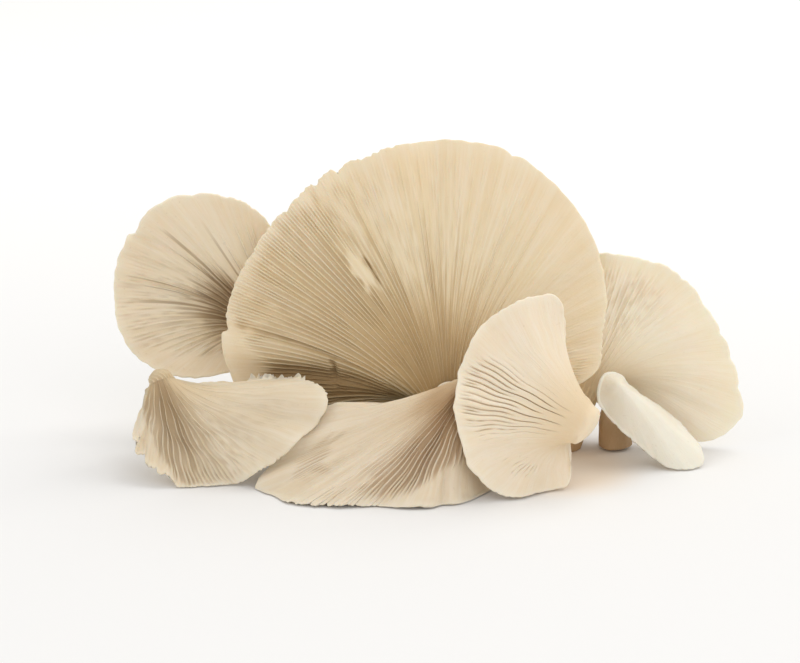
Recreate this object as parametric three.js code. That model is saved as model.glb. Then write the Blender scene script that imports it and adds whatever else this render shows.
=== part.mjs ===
// Oyster mushroom cluster: seven fan-shaped oyster mushrooms heaped on a table.
// Millimetres, +Z up, the table is z = 0. Most gilled undersides face -Y.
//
// A mushroom grows in one piece, so each is one closed mesh: the flat-cut foot, the stem, the gilled
// underside running from the stem's neck out to the wavy margin, the thin rim, and the smooth top
// that closes behind the neck. Its shape is written in its own frame, which has the hub (where the
// gills meet) at the origin, the cap's top towards +Z and the middle of the fan towards +X.

import * as THREE from 'three';

// ---- driving dimensions ----------------------------------------------------------------------

const HEAP_MIDDLE = new THREE.Vector3(-4.66, 24.46, 0); // middle of the heap's footprint in LAYOUT
const GILL_DEPTH = 1.6; // height of a gill where the cap is wide
const GILL_SHARE = 0.12; // a gill stays under this share of the cap's reach
const GILL_RISE = 0.18; // a gill grows to full height over this share of the way to the margin
const SMOOTH_BAND = { from: 0.84, to: 0.96 }; // the gills run out between these shares of the way
const GILL_STARTS = [0.02, 0.55, 0.3, 0.55]; // where every 1st, 2nd, 3rd and 4th gill begins
const PRESSED_FLAT = 0.35; // flesh nearer to the table than this is pressed flat on it

const STEM_SIDES = 18;
const STEM_ROWS = 4;
const UNDERSIDE_ROWS = [0.12, 0.25, 0.4, 0.56, 0.72, 0.86, 0.94, 1]; // share of the way to the margin
const TOP_ROWS = [0, 0.06, 0.14, 0.28, 0.44, 0.6, 0.8]; // share of the way from the rim to the crown
const SPARSE_FROM = 0.4; // from this share inwards the top has half as many columns
const GIRTH_SAMPLES = 720; // steps used to measure the way round the margin

// How far the surfaces lean on their end directions, as a share of the distance they span.
const NECK_PULL = 0.3;
const MARGIN_PULL = 0.35;
const CROWN_PULL = 0.35;
const SWEEP = { from: 0.1, to: 0.6 }; // where the top leaves the underside's course for the crown
const BACK_FLARE = 2.5; // how strongly the gills turn outwards behind the stem

// One entry for each mushroom. hub, foot and bend are places in the heap; turn, tilt and spin (degrees
// about Z, X, Z) set the mushroom's own frame. crown is the top's middle, behind the hub; rim and body
// are the flesh's thickness at the margin and further in, hollow the least flesh under the crown.
// sweep and neckPull, where given, stand in for SWEEP and NECK_PULL.
// ruffles: how many waves go round the margin, how high, their phase, and how late they rise.
// margin: [angle round the hub in degrees, reach, height, slope in degrees], once round the cap.
const LAYOUT = [
  {
    name: 'big_fan_mushroom',
    color: 0xe4cfa6,
    hub: [0, 23, 28.5],
    turn: 0,
    tilt: -105,
    spin: -90,
    stem: {
      foot: [2, 17, 0],
      bend: [2, 17, 13],
      footRadius: 8.5,
      neckRadius: 6.6,
      neckAt: 0.74,
    },
    crown: [5, 0, 10.5],
    rim: 1.3,
    body: 2.4,
    hollow: 3,
    flare: 0.15,
    gills: 64,
    ruffles: [
      { waves: 3, height: 1.2, phase: 0.1, rise: 2 },
      { waves: 7, height: 0.9, phase: 0.35, rise: 3 },
      { waves: 13, height: 0.5, phase: 0.2, rise: 5 },
    ],
    margin: [
      [-180, 15, 14, 40],
      [-158, 20, 17, 60],
      [-142, 29, 21, 90],
      [-126, 40, 23, 100],
      [-110, 58, 13, 40],
      [-91, 67, 3, 0],
      [-79, 71.5, 1, -5],
      [-63, 72.5, 1, 0],
      [-46, 73.5, 2, 5],
      [-30, 75.5, 3, 8],
      [-15, 75, 4, 10],
      [0, 75.5, 5, 12],
      [15, 75, 5, 12],
      [30, 70.5, 4, 10],
      [45, 65.5, 2, 6],
      [60, 58.5, -1, 2],
      [75, 51.5, -3, 0],
      [88, 47, -4, 0],
      [96, 38, 0, 10],
      [114, 24, 8, 20],
      [145, 17, 13, 30],
    ],
  },
  {
    name: 'rear_left_mushroom',
    color: 0xd9c8a8,
    hub: [-60.5, 56, 43.4],
    turn: 0,
    tilt: -95,
    spin: 180,
    stem: {
      foot: [-43, 54, 0],
      bend: [-44, 52.5, 27],
      footRadius: 7,
      neckRadius: 5,
      neckAt: 0.78,
    },
    crown: [2, 2, 10.5],
    rim: 1.3,
    body: 2.4,
    hollow: 3,
    flare: 0.2,
    gills: 34,
    ruffles: [
      { waves: 4, height: 1, phase: 0.3, rise: 2 },
      { waves: 9, height: 0.6, phase: 0.1, rise: 4 },
    ],
    margin: [
      [-180, 14, 7, 10],
      [-155, 13, 9, 15],
      [-133, 13, 10, 15],
      [-112, 14, 9.5, 12],
      [-90, 18, 5, 5],
      [-65, 22.5, -11, -30],
      [-45, 30.5, -13, -40],
      [-27, 38.5, -13, -35],
      [-8, 44, -13, -30],
      [10, 46, -13, -28],
      [30, 47, -12.5, -28],
      [50, 46, -12, -25],
      [70, 40, -10, -18],
      [88, 33, -7, -10],
      [105, 25, -5, -5],
      [130, 19, 0, 5],
      [155, 16, 3, 10],
    ],
  },
  {
    name: 'front_left_mushroom',
    color: 0xdccaa6,
    hub: [-87.8, 18.5, 25],
    turn: 0,
    tilt: -123,
    spin: 60,
    stem: {
      foot: [-90.5, 22.6, 31],
      bend: [-89, 19.8, 28.5],
      footRadius: 4.4,
      neckRadius: 4.2,
      neckAt: 0.55,
    },
    crown: [3, 0, 8],
    rim: 1.2,
    body: 2.4,
    hollow: 2,
    flare: 0.2,
    gills: 36,
    ruffles: [
      { waves: 5, height: 0.8, phase: 0.2, rise: 2 },
      { waves: 11, height: 0.7, phase: 0.5, rise: 3 },
    ],
    margin: [
      [-180, 6.4, 7.4, 10],
      [-140, 7, 7.4, 10],
      [-105, 8.4, 6.6, 10],
      [-85, 11.2, 4.5, 10],
      [-75, 17.5, 2.5, 10],
      [-70.5, 25, 1, 8],
      [-68, 34, -1.5, 5],
      [-65, 42.5, -4, 5],
      [-61, 49, -7, 5],
      [-55.5, 51.5, -9.5, 0],
      [-48, 50, -10.5, 0],
      [-38, 46, -9, 0],
      [-24, 41.5, -5.5, 0],
      [-10, 37.5, -2.5, 0],
      [5, 34, 0, 0],
      [18, 32, -1, 0],
      [30, 27, -3, -10],
      [42, 24, -4, -20],
      [58, 19.5, -4, -20],
      [72, 14, 0, -10],
      [95, 8.4, 5, 0],
      [135, 7, 7, 10],
    ],
  },
  {
    name: 'front_middle_mushroom',
    color: 0xe1cea9,
    hub: [3.3, 2, 26.1],
    turn: 0,
    tilt: -126,
    spin: 124,
    stem: {
      foot: [12.5, 7.5, 37],
      bend: [8.5, 4.8, 32.5],
      footRadius: 4.6,
      neckRadius: 5,
      neckAt: 0.56,
    },
    crown: [3, 0, 8.2],
    rim: 1.2,
    body: 2.4,
    hollow: 2.4,
    flare: 0.2,
    gills: 36,
    gillScale: 0.7,
    ruffles: [
      { waves: 5, height: 1, phase: 0.4, rise: 2 },
      { waves: 11, height: 0.8, phase: 0.15, rise: 3 },
    ],
    margin: [
      [-180, 9.5, 6.8, 10],
      [-140, 10.3, 8.6, 10],
      [-110, 13, 10, 10],
      [-85, 18, 11, 10],
      [-62, 25, 12, 10],
      [-50, 28.5, 9, 5],
      [-38, 30, 5, 0],
      [-22, 32.6, 0, 5],
      [-2, 37.62, 0, 0],
      [13, 46, 0, 0],
      [24, 58, 2, 5],
      [30, 63, 7.5, 15],
      [36, 66, 12.5, 20],
      [42, 59, 12, 15],
      [47, 50.5, 10.5, 12],
      [52.5, 46, 9, 10],
      [58.5, 43.5, 8, 10],
      [62, 38, 8, 10],
      [65, 30, 9, 12],
      [68, 22, 10, 15],
      [74, 15, 10, 15],
      [96, 10.5, 8, 10],
      [125, 10.5, 6.4, 10],
      [150, 10, 6, 10],
    ],
  },
  {
    name: 'front_right_mushroom',
    color: 0xead9b9,
    hub: [33.2, 3.1, 24.3],
    turn: 0,
    tilt: -100,
    spin: 172,
    stem: {
      foot: [45.3, -0.5, 19.5],
      bend: [40.8, 1.2, 22.6],
      footRadius: 6.6,
      neckRadius: 6.8,
      neckAt: 0.5,
    },
    crown: [2.4, 0, 10.5],
    rim: 1.2,
    body: 2.4,
    hollow: 3,
    flare: 0.25,
    gills: 36,
    ruffles: [
      { waves: 4, height: 0.6, phase: 0.1, rise: 2 },
      { waves: 9, height: 0.5, phase: 0.4, rise: 3 },
    ],
    margin: [
      [-180, 10.8, 8.9, 10],
      [-152, 10.6, 8.9, 10],
      [-129, 10.8, 8, 10],
      [-116, 11.3, 6.8, 8],
      [-109, 13.2, 5, 4],
      [-103, 19.4, 2.9, -2],
      [-96, 23.6, 1, -7],
      [-83, 24.4, -1.1, -12],
      [-70, 25.5, -5.1, -20],
      [-49, 28.8, -9.9, -28],
      [-38, 29.5, -11.6, -30],
      [-23.5, 29.5, -12.8, -30],
      [-9, 29.1, -13.1, -30],
      [5.5, 29.9, -12.5, -28],
      [21, 31, -11.1, -25],
      [39, 32.5, -8.7, -20],
      [56, 34.7, -6.1, -14],
      [71.5, 35.6, -3.1, -6],
      [83.5, 36.2, -0.6, 0],
      [91.5, 35.8, 0.9, 0],
      [99.5, 35.2, 2.2, 0],
      [104, 31.6, 3.2, 3],
      [109, 21.4, 4.8, 8],
      [116, 13, 6.6, 10],
      [129, 10.2, 7.9, 10],
      [154, 10.4, 8.9, 10],
    ],
  },
  {
    name: 'rear_right_mushroom',
    color: 0xe8d8ba,
    hub: [49.5, 43, 29],
    turn: 0,
    tilt: -97,
    spin: -25,
    stem: {
      foot: [36.5, 39.5, 0],
      bend: [38.5, 39.5, 17],
      footRadius: 7,
      neckRadius: 5.6,
      neckAt: 0.75,
    },
    crown: [2, -1, 8.8],
    rim: 1.3,
    body: 2.4,
    hollow: 3,
    flare: 0.2,
    gills: 34,
    gillScale: 0.85,
    ruffles: [
      { waves: 4, height: 0.8, phase: 0.3, rise: 2 },
      { waves: 9, height: 0.6, phase: 0.2, rise: 3 },
    ],
    margin: [
      [-180, 12, 6, 15],
      [-145, 16, 4, 10],
      [-115, 26, 1, 0],
      [-90, 33, -2, -10],
      [-65, 34.5, -4, -15],
      [-45, 35.5, -5, -18],
      [-28, 37.5, -6, -20],
      [-10, 38.5, -6, -20],
      [5, 39.5, -6, -18],
      [20, 42.5, -5, -15],
      [36, 47, -4, -10],
      [48, 51, -3, -5],
      [60, 46.5, -2, 0],
      [75, 35, 0, 0],
      [95, 22, 4, 5],
      [120, 14, 8, 10],
      [150, 12, 8.5, 12],
    ],
  },
  {
    name: 'side_tongue_mushroom',
    color: 0xecdfc8,
    hub: [53.2, 24.5, 25.8],
    turn: 20,
    tilt: 56.6,
    spin: -50,
    stem: {
      foot: [56, 38, 0],
      bend: [55.5, 38, 17],
      footRadius: 4.6,
      neckRadius: 3.2,
      neckAt: 0.74,
    },
    crown: [1.5, 0, 4.2],
    rim: 1.2,
    body: 2,
    hollow: 2,
    flare: 0.3,
    neckPull: 0.2,
    sweep: { from: 0, to: 0.25 },
    gills: 24,
    gillScale: 0.7,
    ruffles: [
      { waves: 4, height: 0.4, phase: 0.3, rise: 2 },
    ],
    margin: [
      [-180, 4.1, 0, 0],
      [-130, 4.4, -1, -10],
      [-85, 6.2, -3, -10],
      [-52, 9.2, -4, -10],
      [-34, 14.5, -4, -10],
      [-23, 21.5, -3.5, -10],
      [-16, 28.8, -3, -10],
      [-10, 35, -2, -8],
      [-2, 37.9, -2, -8],
      [5, 37.4, -2, -8],
      [12, 32, -3, -8],
      [19, 22.5, -4, -10],
      [28, 14, -4, -10],
      [44, 8.2, -3, -10],
      [80, 5.2, -1.5, -10],
      [125, 4, -0.5, -5],
    ],
  },
];

// ---- small mathematics -----------------------------------------------------------------------

const UP = new THREE.Vector3(0, 0, 1);
const FULL_TURN = 2 * Math.PI;

function vector(list) {
  return new THREE.Vector3(...list);
}

function outward(angle) {
  return new THREE.Vector3(Math.cos(angle), Math.sin(angle), 0);
}

function bezier(points, t) {
  const weights = [(1 - t) ** 3, 3 * t * (1 - t) ** 2, 3 * t * t * (1 - t), t ** 3];
  const sum = new THREE.Vector3();
  points.forEach((point, i) => sum.addScaledVector(point, weights[i]));
  return sum;
}

// A closed smooth curve through rows of [degrees, value, value, ...], read at an angle in radians.
function readRound(rows, angle) {
  const count = rows.length;
  const at = (i) => {
    const turns = Math.floor(i / count);
    const [degrees, ...values] = rows[i - turns * count];
    return { angle: THREE.MathUtils.degToRad(degrees) + turns * FULL_TURN, values };
  };
  const start = at(0).angle;
  const wrapped = start + THREE.MathUtils.euclideanModulo(angle - start, FULL_TURN);
  let i = 0;
  while (i + 1 < count && at(i + 1).angle <= wrapped) i += 1;
  const [before, a, b, after] = [at(i - 1), at(i), at(i + 1), at(i + 2)];
  const step = b.angle - a.angle;
  const t = (wrapped - a.angle) / step;
  return a.values.map((value, k) => {
    const slopeIn = (value - before.values[k]) / (a.angle - before.angle);
    const slopeMid = (b.values[k] - value) / step;
    const slopeOut = (after.values[k] - b.values[k]) / (after.angle - b.angle);
    const slopeA = blendSlopes(slopeIn, a.angle - before.angle, slopeMid, step);
    const slopeB = blendSlopes(slopeMid, step, slopeOut, after.angle - b.angle);
    return (
      (2 * t ** 3 - 3 * t ** 2 + 1) * value +
      (t ** 3 - 2 * t ** 2 + t) * step * slopeA +
      (-2 * t ** 3 + 3 * t ** 2) * b.values[k] +
      (t ** 3 - t ** 2) * step * slopeB
    );
  });
}

function blendSlopes(slopeBefore, spanBefore, slopeAfter, spanAfter) {
  return (slopeBefore * spanAfter + slopeAfter * spanBefore) / (spanBefore + spanAfter);
}

// ---- one mushroom ----------------------------------------------------------------------------

class Mushroom {
  constructor(spec) {
    Object.assign(this, spec);
    const turn = new THREE.Matrix4().makeRotationZ(THREE.MathUtils.degToRad(spec.turn));
    const tilt = new THREE.Matrix4().makeRotationX(THREE.MathUtils.degToRad(spec.tilt));
    const spin = new THREE.Matrix4().makeRotationZ(THREE.MathUtils.degToRad(spec.spin));
    this.pose = turn.multiply(tilt).multiply(spin);
    this.place = vector(spec.hub);
    const unpose = this.pose.clone().invert();
    this.foot = vector(spec.stem.foot).sub(this.place).applyMatrix4(unpose);
    this.bend = vector(spec.stem.bend).sub(this.place).applyMatrix4(unpose);
    this.crownPoint = vector(spec.crown);
    this.measureGirth();
  }

  // The columns of the mesh are spaced evenly along the margin, so this keeps angle against length.
  measureGirth() {
    const lengths = [0];
    let last = this.marginAt(-Math.PI).point;
    for (let i = 1; i <= GIRTH_SAMPLES; i += 1) {
      const next = this.marginAt(-Math.PI + (FULL_TURN * i) / GIRTH_SAMPLES).point;
      lengths.push(lengths[i - 1] + next.distanceTo(last));
      last = next;
    }
    this.lengths = lengths.map((length) => length / lengths[GIRTH_SAMPLES]);
  }

  // Angle round the hub at a share (0 to 1) of the way round the margin.
  angleAt(share) {
    let i = 0;
    while (i + 2 <= GIRTH_SAMPLES && this.lengths[i + 1] < share) i += 1;
    const part = (share - this.lengths[i]) / (this.lengths[i + 1] - this.lengths[i]);
    return -Math.PI + (FULL_TURN * (i + part)) / GIRTH_SAMPLES;
  }

  // The margin's point, the direction in which the cap runs out through it, and the way up from it.
  marginAt(angle) {
    const [reach, height, slopeDegrees] = readRound(this.margin, angle);
    const slope = THREE.MathUtils.degToRad(slopeDegrees);
    const out = outward(angle);
    const point = out.clone().multiplyScalar(reach).setZ(height);
    const run = out.clone().multiplyScalar(Math.cos(slope)).setZ(Math.sin(slope));
    const rise = out.clone().multiplyScalar(-Math.sin(slope)).setZ(Math.cos(slope));
    return { point, run, rise, out };
  }

  stemDirection(t) {
    const first = this.bend.clone().sub(this.foot).multiplyScalar(1 - t);
    return first.addScaledVector(this.bend, -t).normalize();
  }

  // A point on the stem's skin: t runs from the foot (0) to the hub (1).
  stemPoint(t, angle, radius) {
    const centre = this.foot.clone().multiplyScalar((1 - t) ** 2);
    centre.addScaledVector(this.bend, 2 * t * (1 - t));
    return centre.addScaledVector(this.stemOutward(t, angle), radius);
  }

  stemOutward(t, angle) {
    const turn = new THREE.Quaternion().setFromUnitVectors(UP, this.stemDirection(t));
    return outward(angle).applyQuaternion(turn);
  }

  // The curve of the underside at an angle: from the stem's neck out to the margin.
  undersideCurve(angle) {
    const { neckAt, neckRadius } = this.stem;
    const { point, run } = this.marginAt(angle);
    const neck = this.stemPoint(neckAt, angle, neckRadius);
    const span = point.distanceTo(neck);
    const behind = (1 - Math.cos(angle)) / 2;
    const flare = THREE.MathUtils.lerp(this.flare, BACK_FLARE, behind);
    const leave = this.stemDirection(neckAt).addScaledVector(this.stemOutward(neckAt, angle), flare);
    leave.normalize();
    const room = Math.max(this.crownPoint.z - this.hollow - neck.z, 0);
    const limit = leave.z > 0.001 ? room / leave.z : Infinity;
    const pull = Math.min((this.neckPull ?? NECK_PULL) * span, limit);
    const first = neck.clone().addScaledVector(leave, pull);
    const second = point.clone().addScaledVector(run, -MARGIN_PULL * span);
    return [neck, first, second, point];
  }

  // The underside without its gills: q runs from the stem's neck (0) to the margin (1).
  undersidePoint(angle, q) {
    return bezier(this.undersideCurve(angle), q);
  }

  // The direction that faces away from the flesh on the underside.
  undersideNormal(angle, q) {
    const tiny = 0.001;
    const here = this.undersidePoint(angle, q);
    const round = this.undersidePoint(angle + tiny, q).sub(here);
    const back = this.undersidePoint(angle, q - tiny).sub(here);
    return back.cross(round).normalize();
  }

  // The top: w runs from the rim (0) to the crown (1). Near the rim it keeps the flesh's thickness
  // over the underside, and further in it sweeps over to the crown.
  topPoint(angle, w) {
    const { rise, out } = this.marginAt(angle);
    const [, , inner, margin] = this.undersideCurve(angle);
    const rim = margin.clone().addScaledVector(rise, this.rim);
    const first = inner.clone().addScaledVector(rise, this.body);
    const span = Math.hypot(rim.x - this.crownPoint.x, rim.y - this.crownPoint.y);
    const second = this.crownPoint.clone().addScaledVector(out, CROWN_PULL * span);
    const sweep = bezier([rim, first, second, this.crownPoint], w);
    const thickness = THREE.MathUtils.lerp(this.rim, this.body, THREE.MathUtils.smoothstep(w, 0, 0.3));
    const skin = this.undersidePoint(angle, 1 - w);
    skin.addScaledVector(this.undersideNormal(angle, 1 - w), -thickness);
    const { from, to } = this.sweep ?? SWEEP;
    return skin.lerp(sweep, THREE.MathUtils.smoothstep(w, from, to));
  }

  ruffleAt(share, q) {
    let lift = 0;
    for (const { waves, height, phase, rise } of this.ruffles) {
      lift += height * Math.sin(FULL_TURN * (waves * share + phase)) * q ** rise;
    }
    return lift;
  }

  gillHeight(column, angle, q) {
    if (column % 2 === 1) return 0;
    const start = GILL_STARTS[(column / 2) % GILL_STARTS.length];
    const grown = THREE.MathUtils.smoothstep(q, start, start + GILL_RISE);
    const left = 1 - THREE.MathUtils.smoothstep(q, SMOOTH_BAND.from, SMOOTH_BAND.to);
    const room = GILL_SHARE * this.marginAt(angle).point.length();
    return Math.min(GILL_DEPTH * grown * left, room) * (this.gillScale ?? 1);
  }

  // The rings of points from the foot to the crown; each holds its shares of the way round.
  rings() {
    const rings = [];
    const columns = 2 * this.gills;
    const addRing = (count, pointAt) => {
      const shares = Array.from({ length: count }, (_, i) => i / count);
      const points = shares.map((share, i) => pointAt(this.angleAt(share), share, i));
      rings.push({ shares, points });
    };
    const { footRadius, neckRadius, neckAt } = this.stem;
    for (let row = 0; row <= STEM_ROWS; row += 1) {
      const part = row / STEM_ROWS;
      const radius = THREE.MathUtils.lerp(footRadius, neckRadius, part * part);
      addRing(STEM_SIDES, (angle) => this.stemPoint(part * neckAt, angle, radius));
    }
    for (const q of UNDERSIDE_ROWS) {
      addRing(columns, (angle, share, column) => {
        const point = this.undersidePoint(angle, q);
        point.addScaledVector(this.undersideNormal(angle, q), this.gillHeight(column, angle, q));
        return point.setZ(point.z + this.ruffleAt(share, q));
      });
    }
    for (const w of TOP_ROWS) {
      addRing(w < SPARSE_FROM ? columns : columns / 2, (angle, share) => {
        const point = this.topPoint(angle, w);
        return point.setZ(point.z + this.ruffleAt(share, 1 - w));
      });
    }
    return rings;
  }

  // From the mushroom's own frame to the heap's directions, with the hub at the origin.
  settle(point) {
    const settled = point.clone().applyMatrix4(this.pose);
    if (settled.z + this.place.z < PRESSED_FLAT) settled.z = -this.place.z;
    return settled;
  }

  geometry() {
    const positions = [];
    const triangles = [];
    const addPoint = (point) => positions.push(...this.settle(point).toArray()) / 3 - 1;
    const footCentre = addPoint(this.foot);
    const rings = this.rings().map(({ shares, points }) => ({ shares, ids: points.map(addPoint) }));
    const crown = addPoint(this.crownPoint);
    closeRing(triangles, footCentre, rings[0].ids, true);
    for (let i = 1; i < rings.length; i += 1) joinRings(triangles, rings[i - 1], rings[i]);
    closeRing(triangles, crown, rings[rings.length - 1].ids, false);
    const geometry = new THREE.BufferGeometry();
    geometry.setAttribute('position', new THREE.Float32BufferAttribute(positions, 3));
    geometry.setIndex(triangles);
    geometry.computeVertexNormals();
    return geometry;
  }

  mesh() {
    const material = new THREE.MeshStandardMaterial({ color: this.color, roughness: 0.6, metalness: 0 });
    const mesh = new THREE.Mesh(this.geometry(), material);
    mesh.name = this.name;
    mesh.position.copy(this.place);
    return mesh;
  }
}

// A fan of triangles between one point and a ring.
function closeRing(triangles, centre, ids, faceDown) {
  ids.forEach((id, i) => {
    const next = ids[(i + 1) % ids.length];
    triangles.push(...(faceDown ? [centre, next, id] : [centre, id, next]));
  });
}

// A band of triangles between two rings, which may have different numbers of points.
function joinRings(triangles, lower, upper) {
  const idOf = (ring, i) => ring.ids[i % ring.ids.length];
  const shareOf = (ring, i) => ring.shares[i % ring.ids.length] + Math.floor(i / ring.ids.length);
  let i = 0;
  let j = 0;
  while (i < lower.ids.length || j < upper.ids.length) {
    const lowerLeft = i < lower.ids.length;
    const upperDone = j >= upper.ids.length;
    if (lowerLeft && (upperDone || shareOf(lower, i + 1) <= shareOf(upper, j + 1))) {
      triangles.push(idOf(lower, i), idOf(lower, i + 1), idOf(upper, j));
      i += 1;
    } else {
      triangles.push(idOf(lower, i), idOf(upper, j + 1), idOf(upper, j));
      j += 1;
    }
  }
}

// ---- the heap --------------------------------------------------------------------------------

const group = new THREE.Group();
group.name = 'oyster_mushroom_cluster';
group.position.copy(HEAP_MIDDLE).negate();
LAYOUT.forEach((spec) => group.add(new Mushroom(spec).mesh()));

export default group;
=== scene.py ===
import math

import bpy
import numpy as np
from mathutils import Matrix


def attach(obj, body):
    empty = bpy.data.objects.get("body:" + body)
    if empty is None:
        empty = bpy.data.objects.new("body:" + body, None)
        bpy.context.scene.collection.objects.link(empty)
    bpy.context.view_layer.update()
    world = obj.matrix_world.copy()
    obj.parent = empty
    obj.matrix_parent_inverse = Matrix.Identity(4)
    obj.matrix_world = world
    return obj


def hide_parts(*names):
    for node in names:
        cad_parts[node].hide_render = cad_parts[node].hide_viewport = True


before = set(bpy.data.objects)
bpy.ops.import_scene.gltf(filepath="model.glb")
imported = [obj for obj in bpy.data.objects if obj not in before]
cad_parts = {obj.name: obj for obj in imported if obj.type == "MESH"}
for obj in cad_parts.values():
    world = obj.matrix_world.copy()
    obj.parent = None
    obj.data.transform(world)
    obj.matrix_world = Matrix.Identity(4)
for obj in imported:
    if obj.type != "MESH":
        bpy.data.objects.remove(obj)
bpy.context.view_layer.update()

# Oyster mushroom cluster: seven fan-shaped oyster mushrooms heaped on a table.
# The table below is in millimetres and degrees in the heap's own layout. Meshes are in metres in the
# part's frame. Each mushroom is one closed skin from its cut foot, up the stem, out along the gilled
# underside to the thin wavy margin, and back over the smooth top to the crown. It is written in its own
# frame, with the hub at the origin, the top towards +Z and the middle of the fan towards +X. There,
# angle is the direction round the hub, share is the share of the way round the margin's length, q is
# the share of the way out from neck to margin, and w is the share of the way back from margin to crown.

MM = 0.001
HEAP_MIDDLE = np.array([-4.66, 24.46, 0.0])  # place in the heap's layout that is the part's origin
FULL_TURN = 2 * math.pi

# ---- the heap ----
# Places and pose. hub, foot, bend: places in the heap. turn, tilt, spin: turns about Z, X and Z.
#   crown: the top's middle.
# Stem. foot_radius, neck_radius: its radii. neck_at: share of its curve at which the cap begins.
#   round_end: share of it that its end's rounding takes.
# Skin. rim, body: flesh at the margin and further in. hollow: least flesh under the crown. flare,
#   back_flare: how much the skin spreads out above the neck, in front and behind. neck_pull: how far it
#   keeps that way. sweep: w from which the top leaves the underside's shape, and at which it has left it.
#   rows: rows of points on the underside.
# Gills. gills: how many. depth: their height. late: how much further out they begin. flank: how high a
#   gill's flank stands beside its crest. wander: how far they sway. wavy: how far they ripple along
#   their length. cut: how deep they are as furrows, beside a gill's height.
# ruffles: waves round the margin, height, phase, how late they rise.
# swell: how strong the cap's soft folds are.
# margin: degrees round the hub, reach, height, slope in degrees.
# strength: degrees, how deep the gills are near the hub and further out, q where that changes, q where
#   they end.
# folds: degrees at the margin and at the hub, half width in degrees, depth, q where the fold begins and
#   ends.
# marks: degrees, half width, q, half width, lift, how much of the gills it hides, how much it darkens:
# painted shade in creases, cracks and shaded places, and a warmer colour in a few broad marks.
#   Below 0, the hiding is how strongly fine gills come through instead.
# lobes: notches in the margin as degrees, half width before and after, depth.
# torn: degrees from and to, number of teeth, their depth, or how far they stand out where it is below 0.
# edging: degrees, half width, how dark the margin's edge is there, as painted shade where the gill side
# shows edge-on.
# tint, shade, stem: colour of the flesh's lit parts, the painted shade deep between the gills, and of the
# stem, which on rear_right and side_tongue is dark brown painted shade for stems that stand in shadow.

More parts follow.
